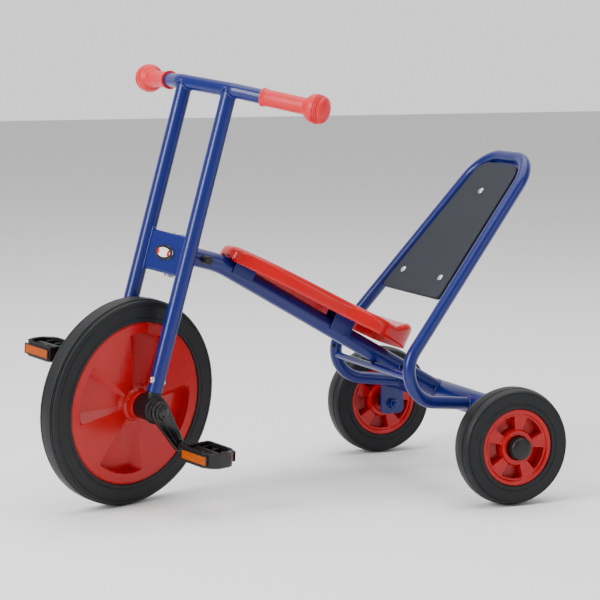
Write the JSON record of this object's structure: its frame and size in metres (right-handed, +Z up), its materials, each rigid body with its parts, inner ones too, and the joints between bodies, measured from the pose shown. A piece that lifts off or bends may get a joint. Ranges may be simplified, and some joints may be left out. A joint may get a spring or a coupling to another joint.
{
  "type": "children's tricycle",
  "caption": "Children's tricycle with a bent tube frame, moulded seat, hoop backrest, twin-tube fork with swept handlebar and direct-drive pedals on the front wheel.",
  "frame": {"origin": "on the floor, under the middle of the tricycle's box", "axes": "+Z up, -Y forward, +X towards the rider's left"},
  "size_m": [0.58, 0.9064, 0.7292],
  "materials": {
    "blue_paint": "smooth blue powder coat on steel",
    "red_plastic": "glossy red moulded plastic",
    "grip_rubber": "soft satin red grip",
    "pad_plastic": "fine-grained dark grey plastic",
    "tyre_rubber": "matt dark grey solid rubber",
    "black_plastic": "satin black moulded plastic",
    "black_paint": "glossy black coat on forged steel",
    "black_rubber": "matt black rubber",
    "zinc_steel": "bright zinc plate",
    "chrome": "polished",
    "amber_reflector": "clear amber prismatic plastic",
    "badge_white": "glossy white plastic"
  },
  "bodies": {
    "root": {"main_tube": "blue_paint", "head_tube": "blue_paint", "cross_beam": "blue_paint", "beam_plug_left": "black_plastic", "beam_plug_right": "black_plastic", "axle_plate_left": "blue_paint", "axle_plate_right": "blue_paint", "backrest_tube": "blue_paint", "knee_bar": "blue_paint", "backrest_support_plate": "blue_paint", "backrest_pad": "pad_plastic", "pad_screw_1": "chrome", "pad_screw_2": "chrome", "pad_screw_3": "chrome", "seat": "red_plastic", "seat_bracket_front": "blue_paint", "seat_bracket_rear": "blue_paint", "seat_screw_1": "zinc_steel", "seat_screw_2": "zinc_steel", "seat_screw_3": "zinc_steel", "seat_screw_4": "zinc_steel", "steering_buffer_left": "black_rubber", "steering_buffer_right": "black_rubber", "head_bush_upper": "black_plastic", "head_bush_lower": "black_plastic", "rear_axle_bolt_left": "zinc_steel", "rear_axle_bolt_right": "zinc_steel"},
    "steering": {"fork_tube_left": "blue_paint", "fork_tube_right": "blue_paint", "fork_yoke": "blue_paint", "badge": "badge_white", "kingpin": "zinc_steel", "kingpin_nut": "zinc_steel", "handlebar": "blue_paint", "grip_left": "grip_rubber", "grip_right": "grip_rubber", "bearing_housing_left": "black_plastic", "bearing_housing_right": "black_plastic"},
    "front_wheel": {"front_tyre": "tyre_rubber", "front_rim": "red_plastic", "front_axle": "zinc_steel", "crank_left": "black_paint", "crank_right": "black_paint", "crank_cap_left": "zinc_steel", "crank_cap_right": "zinc_steel"},
    "pedal_left": {"pedal_left": "black_plastic", "pedal_reflector_left_front": "amber_reflector", "pedal_reflector_left_rear": "amber_reflector"},
    "pedal_right": {"pedal_right": "black_plastic", "pedal_reflector_right_front": "amber_reflector", "pedal_reflector_right_rear": "amber_reflector"},
    "rear_wheel_left": {"rear_tyre_left": "tyre_rubber", "rear_rim_left": "red_plastic", "rear_wheel_bush_left": "black_plastic", "rear_hub_cap_left": "black_plastic"},
    "rear_wheel_right": {"rear_tyre_right": "tyre_rubber", "rear_rim_right": "red_plastic", "rear_wheel_bush_right": "black_plastic", "rear_hub_cap_right": "black_plastic"}
  },
  "joints": [
    {"name": "steering_turn", "type": "hinge", "parent": "root", "child": "steering", "pos_m": [0, -0.2648, 0.1718], "axis": [0, 0.2622, 0.965], "range_deg": [-71.1, 28.9]},
    {"name": "front_wheel_spin", "type": "hinge", "parent": "steering", "child": "front_wheel", "pos_m": [0.0072, -0.28281, 0.17669], "axis": [0.933, 0.3474, -0.0944], "continuous": true},
    {"name": "pedal_left_spin", "type": "hinge", "parent": "front_wheel", "child": "pedal_left", "pos_m": [-0.01462, -0.2411, 0.11449], "axis": [0.933, 0.3474, -0.0944], "continuous": true},
    {"name": "pedal_right_spin", "type": "hinge", "parent": "front_wheel", "child": "pedal_right", "pos_m": [0.02902, -0.32451, 0.23888], "axis": [0.933, 0.3474, -0.0944], "continuous": true},
    {"name": "rear_wheel_left_spin", "type": "hinge", "parent": "root", "child": "rear_wheel_left", "pos_m": [0.249, 0.3113, 0.1], "axis": [1, 0, 0], "continuous": true},
    {"name": "rear_wheel_right_spin", "type": "hinge", "parent": "root", "child": "rear_wheel_right", "pos_m": [-0.249, 0.3113, 0.1], "axis": [1, 0, 0], "continuous": true}
  ]
}
